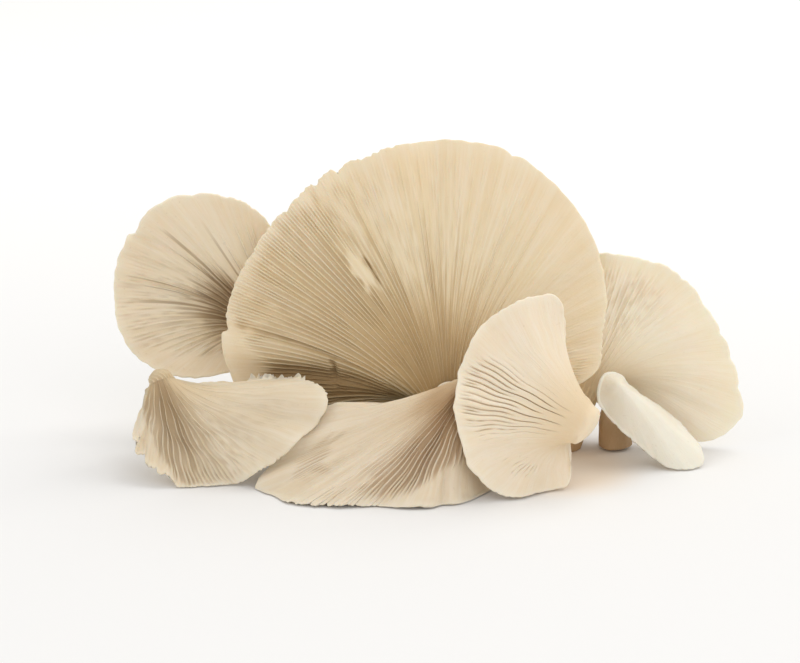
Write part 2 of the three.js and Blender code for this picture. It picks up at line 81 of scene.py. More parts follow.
MUSHROOMS = [{
    "name": "big_fan", "slot": "flesh_tan",
    "hub": (0, 23, 28.5), "tilt": -105, "spin": -90,
    "foot": (2, 17, 0), "bend": (2, 17, 13), "foot_radius": 8.5, "neck_radius": 6.6, "neck_at": 0.74,
    "crown": (5, 0, 10.5), "hollow": 3, "flare": 0.15,
    "gills": 328, "depth": 1.1, "swell": 0.9, "rows": 66,
    "ruffles": [(3, 1.2, 0.1, 2), (7, 0.9, 0.35, 3), (13, 0.5, 0.2, 5)],
    "margin": [
        (-180, 15, 14, 40), (-158, 20, 17, 60), (-142, 29, 21, 90), (-126, 40, 23, 100),
        (-110, 58, 13, 40), (-91, 67, 3, 0), (-79, 71.5, 1, -5), (-63, 72.5, 1, 0), (-46, 73.5, 2, 5),
        (-30, 75.5, 3, 8), (-15, 75, 4, 10), (0, 75.5, 5, 12), (15, 75, 5, 12), (30, 70.5, 4, 10),
        (45, 65.5, 2, 6), (60, 58.5, -1, 2), (75, 51.5, -3, 0), (88, 47, -4, 0), (96, 38, 0, 10),
        (114, 24, 8, 20), (145, 17, 13, 30),
    ],
    "strength": [
        (-180, 0.8, 0.8, 0.6, 0.85), (-100, 0.8, 0.9, 0.7, 0.9), (-82, 0.8, 0.8, 0.8, 0.9),
        (-76, 0.85, 0.75, 0.8, 1.02), (-60, 0.9, 0.75, 0.8, 1.03), (-40, 0.9, 0.68, 0.8, 1.03),
        (-33, 0.9, 0.42, 0.6, 1.02), (-26, 0.85, 0.28, 0.5, 1), (-12, 0.75, 0.18, 0.42, 0.97),
        (5, 0.7, 0.15, 0.4, 0.97), (25, 0.55, 0.09, 0.36, 0.96), (45, 0.45, 0.06, 0.32, 0.95),
        (70, 0.4, 0.06, 0.3, 0.97), (84, 0.5, 0.3, 0.4, 0.98), (100, 0.6, 0.5, 0.5, 0.93),
        (125, 0.8, 0.7, 0.5, 0.9),
    ],
    "folds": [
        (-36, -30, 2, 0.9, 0.3, 2), (-76.5, -76, 1.3, 1.1, 0.2, 2), (-89, -84, 5, 3, 0.3, 1.1),
        (-24, -20, 2.5, 0.6, 0.5, 2), (12, 8, 5, 0.8, 0.4, 2), (-3, -4, 2.5, 0.5, 0.5, 2),
        (55, 45, 6, 0.9, 0.4, 2),
    ],
    "marks": [
        (-37, 3, 0.62, 0.075, 0.5, 0.95, 0), (-33.4, 0.6, 0.61, 0.06, -0.3, 0.01, 0.8),
        (-88, 9, 0.5, 0.014, -0.7, 0.3, 1.1), (-83, 7, 1, 0.1, 0.2, 0.95, 0),
        (-89, 3.5, 0.72, 0.2, 0, 0, 1.3), (-94, 9, 0.42, 0.3, 0, 0, 1.5), (-86, 8, 0.25, 0.2, 0, 0, 0.5),
        (-75.6, 0.7, 0.7, 0.3, 0, 0, 0.6), (-12, 30, 0.5, 0.3, 0, 0, 0.12),
        (-50, 9, 0.22, 0.1, 0, 0, 0.15),
    ],
    "lobes": [
        (-77.5, 0.4, 3, 2), (-58, 1, 2.5, 0.6), (-43.5, 0.5, 3, 1.5), (-34, 0.4, 3, 1.8),
        (-27.5, 0.4, 2.5, 1.9), (-21, 0.4, 3, 1.4), (-8, 1, 2, 0.5), (17, 0.8, 1.5, 0.8), (52, 2, 2, 0.4),
        (80, 1.5, 1.5, 0.5),
    ],
    "torn": [(-76, -44, 16, 0.6), (-40, -12, 15, 0.9), (-10, 30, 9, 0.3), (66, 86, 9, 0.6)],
    "tint": (0.79, 0.655, 0.44), "shade": (0.54, 0.38, 0.19), "stem": (0.72, 0.57, 0.37),
}, {
    "name": "rear_left", "slot": "flesh_shaded",
    "hub": (-60.5, 56, 43.4), "tilt": -95, "spin": 180,
    "foot": (-43, 54, 0), "bend": (-44, 52.5, 27), "foot_radius": 7, "neck_radius": 5, "neck_at": 0.78,
    "crown": (2, 2, 10.5), "hollow": 3,
    "gills": 144, "depth": 1.3, "rows": 48,
    "ruffles": [(4, 1, 0.3, 2), (9, 0.6, 0.1, 4)],
    "margin": [
        (-180, 14, 7, 10), (-155, 13, 9, 15), (-133, 13, 10, 15), (-112, 14, 9.5, 12), (-90, 18, 5, 5),
        (-65, 22.5, -11, -30), (-45, 30.5, -13, -40), (-27, 38.5, -13, -35), (-8, 44, -13, -30),
        (10, 46, -13, -28), (30, 47, -12.5, -28), (50, 46, -12, -25), (70, 40, -10, -18),
        (88, 33, -7, -10), (105, 25, -5, -5), (130, 19, 0, 5), (155, 16, 3, 10),
    ],
    "strength": [
        (-180, 0.8, 0.6, 0.5, 0.8), (-60, 0.7, 0.3, 0.45, 0.72), (-35, 0.75, 0.15, 0.45, 0.8),
        (-12, 0.85, 0.22, 0.42, 0.99), (15, 0.95, 0.22, 0.42, 1), (30, 1, 0.15, 0.43, 0.97),
        (42, 1, 0.08, 0.46, 0.95), (60, 0.7, 0.05, 0.4, 0.92), (85, 0.5, 0.04, 0.4, 0.9),
        (120, 0.8, 0.4, 0.5, 0.85),
    ],
    "folds": [
        (32, 44, 2, 1.2, 0.3, 2), (-20, -5, 6, 0.9, 0.5, 2), (22, 34, 2, 0.5, 0.3, 2),
        (46, 50, 2.5, 0.5, 0.3, 2),
    ],
    "marks": [
        (30, 24, 0.36, 0.15, 0, 0, 0.75), (-5, 20, 0.35, 0.13, 0, 0, 0.5),
        (-32, 18, 0.95, 0.12, 0, 0, 0.3),
    ],
    "lobes": [(33, 0.9, 4, 2.2), (3, 1.5, 2, 0.4), (62, 1.5, 1.5, 0.9), (75, 1, 2, 0.7)],
    "torn": [(70, 92, 9, 0.5)],
    "tint": (0.82, 0.71, 0.53), "shade": (0.33, 0.22, 0.12), "stem": (0.66, 0.52, 0.34),
}, {
    "name": "front_left", "slot": "flesh_shaded",
    "hub": (-87.8, 18.5, 25), "tilt": -123, "spin": 60,
    "foot": (-90.5, 22.6, 31), "bend": (-89, 19.8, 28.5), "foot_radius": 4.4, "neck_radius": 4.2,
    "neck_at": 0.55, "round_end": 0.7, "wander": 2,
    "crown": (3, 0, 8), "rim": 0.8, "hollow": 2,
    "gills": 112, "depth": 1.3, "wavy": 0.7, "rows": 48,
    "ruffles": [(5, 0.8, 0.2, 2), (11, 0.7, 0.5, 3)],
    "margin": [
        (-180, 6.4, 7.4, 10), (-140, 7, 7.4, 10), (-105, 8.4, 6.6, 10), (-85, 11.2, 4.5, 10),
        (-75, 17.5, 2.5, 10), (-70.5, 25, 1, 8), (-68, 34, -1.5, 5), (-65, 42.5, -4, 5), (-61, 49, -7, 5),
        (-55.5, 51.5, -9.5, 0), (-48, 50, -10.5, 0), (-38, 46, -9, 0), (-24, 41.5, -5.5, 0),
        (-10, 37.5, -2.5, 0), (5, 34, 0, 0), (18, 32, -1, 0), (30, 27, -3, -10), (42, 24, -4, -20),
        (58, 19.5, -4, -20), (72, 14, 0, -10), (95, 8.4, 5, 0), (135, 7, 7, 10),
    ],
    "strength": [
        (-180, 0.6, 0.5, 0.4, 0.8), (-80, 0.3, 0.06, 0.3, 0.8), (-60, 0.22, 0.06, 0.3, 0.85),
        (-45, 0.25, 0.07, 0.3, 0.9), (-28, 0.35, 0.12, 0.35, 0.95), (-14, 0.55, 0.35, 0.5, 1),
        (0, 0.8, 0.7, 0.7, 1.02), (12, 0.9, 0.85, 0.8, 1), (26, 0.9, 0.75, 0.75, 0.95),
        (40, 0.75, 0.4, 0.6, 0.75), (56, 0.6, 0.2, 0.45, 0.6), (75, 0.6, 0.2, 0.4, 0.7),
        (120, 0.7, 0.4, 0.4, 0.8),
    ],
    "folds": [
        (-48, -45, 5, 0.8, 0.3, 2), (32, 26, 3, 1.1, 0.5, 2), (52, 46, 3, 1.1, 0.4, 2),
        (8, 8, 2, 0.5, 0.4, 2),
    ],
    "marks": [
        (62, 14, 0.45, 0.2, 0, 0, 0.45), (12, 14, 0.55, 0.25, 0, 0, 0.2), (-34, 17, 0.6, 0.28, 0, 0, 0.34),
        (-52, 14, 0.75, 0.3, 0, 0, 0.3),
    ],
    "lobes": [(25, 1, 3, 2.2), (34, 1.2, 2, 1.6), (46, 1.2, 4, 2.6), (58, 1.5, 3, 1.8), (-40, 2, 2, 0.5)],
    "torn": [(-70, -64.2, 21, -2.8), (-64.5, -56, 7, 0.8), (-30, 20, 26, 0.8), (22, 62, 12, 1.2)],
    "tint": (0.76, 0.65, 0.48), "shade": (0.43, 0.30, 0.17), "stem": (0.62, 0.50, 0.33),
}, {
    "name": "front_middle", "slot": "flesh_tan",
    "hub": (3.3, 2, 26.1), "tilt": -126, "spin": 124,
    "foot": (12.5, 7.5, 37), "bend": (8.5, 4.8, 32.5), "foot_radius": 4.6, "neck_radius": 5,
    "neck_at": 0.56, "round_end": 0.5, "wander": 1.6,
    "crown": (3, 0, 8.2), "rim": 0.8, "hollow": 2.4,
    "gills": 144, "depth": 1.4, "flank": 0.5, "wavy": 0.4, "rows": 48,
    "ruffles": [(5, 1, 0.4, 2), (11, 0.8, 0.15, 3)],
    "margin": [
        (-180, 9.5, 6.8, 10), (-140, 10.3, 8.6, 10), (-110, 13, 10, 10), (-85, 18, 11, 10),
        (-62, 25, 12, 10), (-50, 28.5, 9, 5), (-38, 30, 5, 0), (-22, 32.6, 0, 5), (-2, 37.62, 0, 0),
        (13, 46, 0, 0), (24, 58, 2, 5), (30, 63, 7.5, 15), (36, 66, 12.5, 20), (42, 59, 12, 15),
        (47, 50.5, 10.5, 12), (52.5, 46, 9, 10), (58.5, 43.5, 8, 10), (62, 38, 8, 10), (65, 30, 9, 12),
        (68, 22, 10, 15), (74, 15, 10, 15), (96, 10.5, 8, 10), (125, 10.5, 6.4, 10), (150, 10, 6, 10),
    ],
    "strength": [
        (-180, 0.7, 0.4, 0.4, 0.8), (-70, 0.5, 0.2, 0.4, 0.7), (-45, 0.6, 0.4, 0.5, 0.6),
        (-30, 0.8, 0.7, 0.6, 0.68), (-18, 1, 1, 0.7, 0.8), (-5, 1, 1.05, 0.8, 0.93),
        (8, 0.85, 0.95, 0.8, 0.96), (14, 0.6, 0.5, 0.7, 0.97), (20, 0.35, 0.18, 0.4, 0.97),
        (28, 0.2, 0.1, 0.35, 0.92), (42, 0.14, 0.05, 0.3, 0.85), (58, 0.1, 0.03, 0.3, 0.8),
        (80, 0.2, 0.1, 0.4, 0.8), (130, 0.6, 0.4, 0.4, 0.8),
    ],
    "folds": [
        (29, 33, 2.2, 1.5, 0.55, 2), (34.5, 40, 1.8, 1.2, 0.55, 2), (24, 27, 1.6, 0.9, 0.6, 2),
        (-27, -22, 3, 1.4, 0.35, 2), (17, 17, 1.5, 0.6, 0.6, 2), (70, 72, 13, 2.2, 0.05, 0.9),
    ],
    "marks": [
        (38, 7, 0.76, 0.08, -0.1, -4, 0), (-38, 12, 0.5, 0.2, 0, 0, 0.5), (-4, 12, 0.55, 0.3, 0, 0, 0.15),
        (-28, 12, 0.93, 0.12, 0.3, 0.95, 0), (30, 40, 0.15, 0.15, 0, 0, 0.6),
        (45, 25, 0.5, 0.3, 0, 0, 0.2),
    ],
    "lobes": [
        (-14, 2, 2, 0.5), (13, 0.5, 1, 1.2), (18, 0.5, 1.2, 2), (21.5, 0.5, 1, 2.2), (25, 0.5, 1, 1.5),
        (31, 1, 1, 0.8),
    ],
    "torn": [(2, 29, 21, 0.9), (-40, -10, 8, 0.3)],
    "tint": (0.77, 0.65, 0.48), "shade": (0.42, 0.25, 0.12), "stem": (0.6, 0.46, 0.28),
}, {
    "name": "front_right", "slot": "flesh_pale",
    "hub": (33.2, 3.1, 24.3), "tilt": -100, "spin": 172,
    "foot": (45.3, -0.5, 19.5), "bend": (40.8, 1.2, 22.6), "foot_radius": 6.6, "neck_radius": 7.4,
    "neck_at": 0.4, "round_end": 0.6, "wander": 3,
    "crown": (2.4, 0, 10.5), "rim": 0.8, "hollow": 3, "flare": 0.5,
    "gills": 160, "depth": 1.5, "late": 0.06, "cut": 0.7, "wavy": 0.5, "back_flare": 0.7, "rows": 56,
    "ruffles": [(4, 0.6, 0.1, 2), (9, 0.5, 0.4, 3)],
    "margin": [
        (-180, 10.8, 8.9, 10), (-152, 10.6, 8.9, 10), (-129, 10.8, 8, 10), (-116, 11.3, 6.8, 8),
        (-109, 13.2, 5, 4), (-103, 19.4, 2.9, -2), (-96, 23.6, 1, -7), (-83, 24.4, -1.1, -12),
        (-70, 25.5, -5.1, -20), (-49, 28.8, -9.9, -28), (-38, 29.5, -11.6, -30), (-23.5, 29.5, -12.8, -30),
        (-9, 29.1, -13.1, -30), (5.5, 29.9, -12.5, -28), (21, 31, -11.1, -25), (39, 32.5, -8.7, -20),
        (56, 34.7, -6.1, -14), (71.5, 35.6, -3.1, -6), (83.5, 36.2, -0.6, 0), (91.5, 35.8, 0.9, 0),
        (99.5, 35.2, 2.2, 0), (104, 31.6, 3.2, 3), (109, 21.4, 4.8, 8), (116, 13, 6.6, 10),
        (129, 10.2, 7.9, 10), (154, 10.4, 8.9, 10),
    ],
    "strength": [
        (-180, 0.2, 0.1, 0.3, 0.8), (-90, 0.05, 0.03, 0.3, 0.8), (-64, 0.1, 0.2, 0.55, 0.72),
        (-48, 0.1, 0.34, 0.55, 0.78), (-36, 0.1, 0.22, 0.5, 0.75), (-26, 0.05, 0.05, 0.5, 0.8),
        (-12, 0.15, 0.1, 0.5, 0.85), (0, 0.5, 0.45, 0.6, 0.92), (10, 0.8, 0.75, 0.7, 0.97),
        (22, 1, 0.9, 0.8, 0.98), (34, 1, 0.9, 0.75, 0.96), (44, 0.85, 0.65, 0.7, 0.92),
        (51, 0.4, 0.25, 0.6, 0.85), (59, 0.06, 0.03, 0.4, 0.8), (90, 0.05, 0.02, 0.3, 0.8),
        (130, 0.1, 0.05, 0.3, 0.8),
    ],
    "folds": [
        (60, 50, 8, 0.8, 0.3, 2), (-20, -14, 9, 0.9, 0.3, 2), (34, 30, 3, 0.7, 0.3, 2),
        (14, 12, 3, 0.6, 0.4, 2),
    ],
    "marks": [(80, 25, 0.75, 0.35, 0, 0, 0.15)],
    "lobes": [(-70, 2, 3, 0.6), (-30, 3, 3, 0.4), (20, 3, 3, 0.3), (-106, 8, 9, 4.5)],
    "torn": [(-60, -35, 6, 0.3), (60, 85, 5, 0.25)],
    "tint": (0.85, 0.73, 0.56), "shade": (0.47, 0.29, 0.14), "stem": (0.86, 0.72, 0.53),
}, {
    "name": "rear_right", "slot": "flesh_pale",
    "hub": (49.5, 43, 29), "tilt": -97, "spin": -25,
    "foot": (36.5, 39.5, 0), "bend": (41.5, 39.5, 14), "foot_radius": 8, "neck_radius": 6.4,
    "neck_at": 0.75,
    "crown": (2, -1, 8.8), "hollow": 3,
    "gills": 144, "depth": 1, "rows": 44,
    "ruffles": [(4, 0.8, 0.3, 2), (9, 0.6, 0.2, 3)],
    "margin": [
        (-180, 12, 6, 15), (-145, 16, 4, 10), (-115, 26, 1, 0), (-90, 33, -2, -10), (-65, 34.5, -4, -15),
        (-45, 35.5, -5, -18), (-28, 37.5, -6, -20), (-10, 38.5, -6, -20), (5, 39.5, -6, -18),
        (20, 42.5, -5, -15), (36, 47, -4, -10), (48, 51, -3, -5), (60, 46.5, -2, 0), (75, 35, 0, 0),
        (95, 22, 4, 5), (120, 14, 8, 10), (150, 12, 8.5, 12),
    ],
    "strength": [
        (-180, 0.5, 0.3, 0.4, 0.85), (-75, 0.35, 0.3, 0.4, 0.9), (-45, 0.4, 0.4, 0.5, 0.95),
        (-30, 0.4, 0.36, 0.5, 0.93), (-14, 0.25, 0.18, 0.5, 0.88), (5, 0.12, 0.06, 0.45, 0.88),
        (25, 0.1, 0.04, 0.4, 0.85), (50, 0.1, 0.03, 0.4, 0.8), (90, 0.2, 0.1, 0.4, 0.8),
    ],
    "folds": [(-30, -26, 6, 0.5, 0.4, 2), (15, 12, 7, 0.7, 0.4, 2), (40, 38, 6, 0.6, 0.4, 2)],
    "lobes": [
        (-38, 2, 2, 0.5), (-20, 2, 2, 0.5), (-4, 2, 2.5, 0.8), (12, 1.5, 3, 1), (24, 2, 2, 0.8),
        (36, 2, 2, 0.9), (52, 2, 2, 0.4),
    ],
    "torn": [(-60, 0, 12, 0.3)],
    # The stem's dark brown is painted shade: this stem stands in shadow behind the front mushrooms.
    "tint": (0.925, 0.825, 0.645), "shade": (0.62, 0.47, 0.29), "stem": (0.48, 0.31, 0.16),
}, {
    "name": "side_tongue", "slot": "flesh_pale",
    "hub": (53.2, 24.5, 25.8), "turn": 20, "tilt": 56.6, "spin": -50,
    "foot": (56, 38, 0), "bend": (55.5, 38, 17), "foot_radius": 5.4, "neck_radius": 3.4, "neck_at": 0.74,
    "crown": (1.5, 0, 4.2), "body": 1.3, "hollow": 2, "flare": 0.3, "neck_pull": 0.2, "sweep": (0, 0.12),
    "edging": (-20, 16, 1.6),
    "gills": 80, "depth": 1, "swell": 0.5, "rows": 40,
    "ruffles": [(4, 0.4, 0.3, 2)],
    "margin": [
        (-180, 4.1, 0, 0), (-130, 4.4, -1, -10), (-85, 6.2, -3, -10), (-52, 9.2, -4, -10),
        (-34, 14.5, -4, -10), (-23, 21.5, -3.5, -10), (-16, 28.8, -3, -10), (-10, 35, -2, -8),
        (-2, 37.9, -2, -8), (5, 37.4, -2, -8), (12, 32, -3, -8), (19, 22.5, -4, -10), (28, 14, -4, -10),
        (44, 8.2, -3, -10), (80, 5.2, -1.5, -10), (125, 4, -0.5, -5),
    ],
    "strength": [(degrees, 0.8, 0.7, 0.8, 0.86) for degrees in (-180, -60, 0, 60)],
    "lobes": [(-40, 2, 2, 0.4), (-16, 1, 1.5, 0.5)],
    "torn": [(-34, -6, 12, 0.5)],
    # The stem's dark brown is painted shade for a stem standing in shadow behind the tongue's cap.
    "tint": (0.84, 0.79, 0.67), "shade": (0.50, 0.36, 0.22), "stem": (0.5, 0.33, 0.18),
}]

# ---- what the mushrooms share ----

FLANK = 0.38
PLAIN = {  # what a mushroom has where it names nothing else
    "turn": 0, "rim": 0.9, "body": 2.4, "flare": 0.2, "back_flare": 2.5, "neck_pull": 0.3,
    "sweep": (0.1, 0.6), "round_end": 0.06, "swell": 2, "wander": 1, "wavy": 0, "late": 0,
    "flank": FLANK, "cut": 0, "folds": [], "marks": [], "edging": (0, 1, 0),
}
FIRST_SEED = 11

# Rows and columns of points.
MARGIN_SAMPLES = 1441
COLUMNS_PER_GILL = 4
END_TURNS = (8, 20, 35, 50, 65, 80)  # degrees round the stem's rounded end
STEM_ROWS = 14
HALF_COLUMNS_TO = 0.24  # rows of the underside below this q have half the columns
UNDER_CROWDING = 0.9
RIM_TURNS = (0.25, 0.5, 0.75)  # half turns round the margin
TOP_ROWS = 26
TOP_CROWDING = 1.15
GRAIN_LENGTH = 60  # units of grain from neck to margin

# Stem. Shares are of its length.
TWIST = (0.1, 0.95)  # where it turns to face the margin's columns
WAIST, WAIST_FLARE = 0.8, 1.4
RIDGES = (0.3, 1.0)  # where the gills' ridges come up on it
RIDGE_ACROSS, RIDGE_HEIGHT, RIDGE_LIFT = (0, 0.12, 0.3), (1, 0.45, 0), 0.3
# STEM_GROOVE: how much painted shade lies between the gills' ridges on the stem
STEM_GROOVE = 0.6
LUMPS = ((0.25, 3, 5), (0.15, 7, -9))  # height, waves round and along
FILLET, LEAST_FILLET = 4, 2
THINNEST = 0.1

# Shape of the skin.
MARGIN_PULL = 0.35
CROWN_PULL = 0.35
THICKENING = 0.3  # w at which the flesh has its full body
LEVEL = 0.001  # least rise of a curve that can meet the crown's hollow
TINY = 1e-3
SWELLS, SWELL_TURN = (0.25, 0.8), 0.12
FOLD_BEFORE, FOLD_AFTER, FOLD_END = 0.1, 0.35, 0.25
TOP_FLAT = (0.5, 0.95)  # w over which the folds die out
SOFT_TABLE = 0.5  # how softly the skin comes down on the table
OFF_FOOT, ROUND_RIM = (0.1, 0.4), (0.97, 1.03)  # reach over which the skin leaves the foot, and turns over
TOP_CLEAR, UNDER_CLEAR = 0.1, 0.6  # least height of the top side, and how much higher the underside stays

# Margin.
NOTCH_POINTED = 1.3
TEETH, TOOTH_SIZES = 64, (0.1, 1)
LAST_PLACE = 0.9999  # just inside the last tooth
TOOTH_RISE, TOOTH_FALL = 0.7, 0.3
FRAY_SAMPLES, FRAY_WAVES, FRAY, FRAY_MIDDLE = 900, 60, 0.35, 0.5
FULL_TEAR_REACH = 20  # the margin tears less nearer the hub
TEAR_STEP = 0.01
TEAR_FROM, TOOTH_FROM = 0.72, 0.965  # q from which tears draw the skin in and teeth stand out

# Gills.
STARTS = (0.0, 0.76, 0.38, 0.82, 0.13, 0.72, 0.44, 0.85)  # q where every 1st to 8th gill begins
CROWDS = ((0.18, 8), (0.44, 4), (0.8, 2))  # below this q, about one gill in so many has begun
GILL_ACROSS = (0, 0.25, 0.5)  # crest, flank and foot of a gill, in gills
GILL_RISE = 0.14
GILL_SIZES, GILL_LATE, GILL_FAR = (0.72, 1.12), 0.07, 0.16
FEW, FEW_FAR = 0.85, 0.3  # chance above which a gill stays deep further out, and how much further
SWAYS, SWELL_WAVES = (3, 5, 8, 13, 21), (5, 9, 14, 23)
NECK_HEIGHT, NECK_RISE = 0.3, 0.16  # how high the longest gills begin, and q of their full height
SWAY, SWAY_SHIFT = 0.02, 0.5
WAVES_OUT, WAVES_ROUND = 3, 7
BREAKS, BREAK_SWAY, BREAK_RATE, BREAK_DEPTH = 3.2, 0.8, 9, 1.1
CHANGE_SPREAD = 0.16
END_SPREAD = 0.35
FADE_BEFORE, FADE_AFTER = 0.1, 0.02
STEEPEST, TALLEST = 1.5, 0.16  # a gill's height beside its width, and beside the margin's reach
MARK_RAGGED, MARK_RATE_OUT, MARK_RATE_ROUND = 0.25, 70, 60
# FINE_GROOVE is the painted shade between fine gills in a mark; DEEPEST_GROOVE is the most painted shade a
# point takes.
FINE_HEIGHT, FINE_GROOVE = 0.1, 0.6  # fine gills that come through in a mark
DEEPEST_GROOVE = 2
SMOOTHED = 9  # columns that a gill's width is averaged over


# ---- small mathematics ----

def unit(v):
    return v / np.maximum(np.linalg.norm(v, axis=-1, keepdims=True), 1e-9)


def smooth(x, low, high):
    t = np.clip((x - low) / (high - low), 0, 1)
    return t * t * (3 - 2 * t)


def off_by(angle, degrees):
    """Degrees from a direction to angles in radians, between -180 and 180."""
    return np.mod(np.degrees(angle) - degrees + 180, 360) - 180


def rotation(axis, degrees):
    c, s = math.cos(math.radians(degrees)), math.sin(math.radians(degrees))
    if axis == "x":
        return np.array([[1, 0, 0], [0, c, -s], [0, s, c]])
    return np.array([[c, -s, 0], [s, c, 0], [0, 0, 1]])


def from_up(direction):
    """The shortest turn that takes +Z to a direction."""
    v = np.cross([0, 0, 1.0], direction)
    k = np.array([[0, -v[2], v[1]], [v[2], 0, -v[0]], [-v[1], v[0], 0]])
    return np.eye(3) + k + k @ k / (1 + direction[2])


def read_round(rows, angle):
    """A closed smooth curve through four or more rows of (degrees, value, ...), read in radians."""
    table = np.array(rows, float)
    at, values = np.radians(table[:, 0]), table[:, 1:]
    at = np.concatenate([at[-2:] - FULL_TURN, at, at[:2] + FULL_TURN])
    values = np.concatenate([values[-2:], values, values[:2]])
    slopes = np.zeros_like(values)
    before, after = np.diff(at)[:-1, None], np.diff(at)[1:, None]
    steps = np.diff(values, axis=0) / np.diff(at)[:, None]
    slopes[1:-1] = (steps[:-1] * after + steps[1:] * before) / (before + after)
    angle = np.mod(np.asarray(angle) - at[2], FULL_TURN) + at[2]
    i = np.clip(np.searchsorted(at, angle, side="right") - 1, 1, len(at) - 3)
    h = (at[i + 1] - at[i])[..., None]
    t = (angle - at[i])[..., None] / h
    return ((2 * t**3 - 3 * t**2 + 1) * values[i] + (t**3 - 2 * t**2 + t) * h * slopes[i]
            + (-2 * t**3 + 3 * t**2) * values[i + 1] + (t**3 - t**2) * h * slopes[i + 1])


def bezier(points, t):
    t = np.asarray(t, float)[..., None]
    a, b, c, d = points
    return (1 - t) ** 3 * a + 3 * t * (1 - t) ** 2 * b + 3 * t * t * (1 - t) * c + t**3 * d


def outward(angle):
    return np.stack([np.cos(angle), np.sin(angle), 0 * angle], -1)


# ---- one mushroom ----

